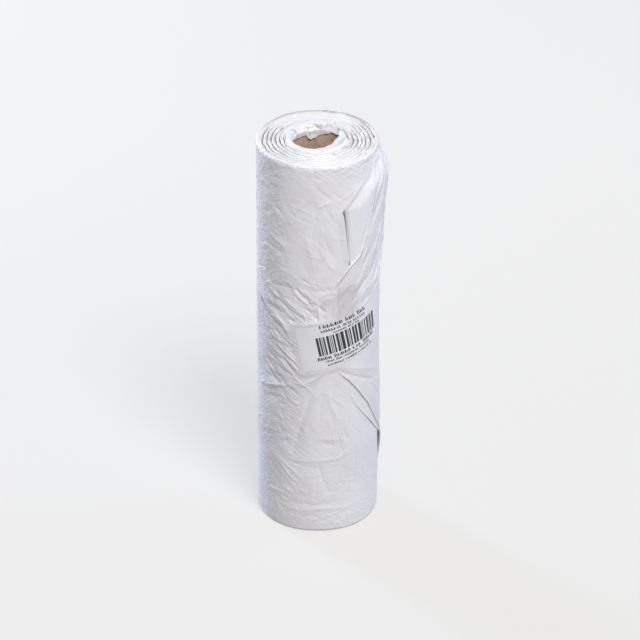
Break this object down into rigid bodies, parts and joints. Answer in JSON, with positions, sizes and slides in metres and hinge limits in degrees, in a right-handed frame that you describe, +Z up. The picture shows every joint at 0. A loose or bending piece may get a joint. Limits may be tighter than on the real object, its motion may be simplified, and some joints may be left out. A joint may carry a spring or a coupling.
{
  "type": "bin bag roll",
  "caption": "Roll of thin white bin bags wound on a cardboard tube, its gathered loose end held down by a tilted adhesive label.",
  "frame": {"origin": "centre of the cardboard tube's bore at its lower end, on the plane the roll stands on", "axes": "+Z up the roll's axis, -Y towards the picture's camera, the label lies from the front towards +X"},
  "size_m": [0.0811, 0.0772, 0.26],
  "materials": {
    "film": "satin",
    "tube": "matte",
    "label": "matte"
  },
  "bodies": {
    "root": {"cardboard_tube": "tube", "bag_roll": "film", "adhesive_label": "label"}
  },
  "joints": []
}
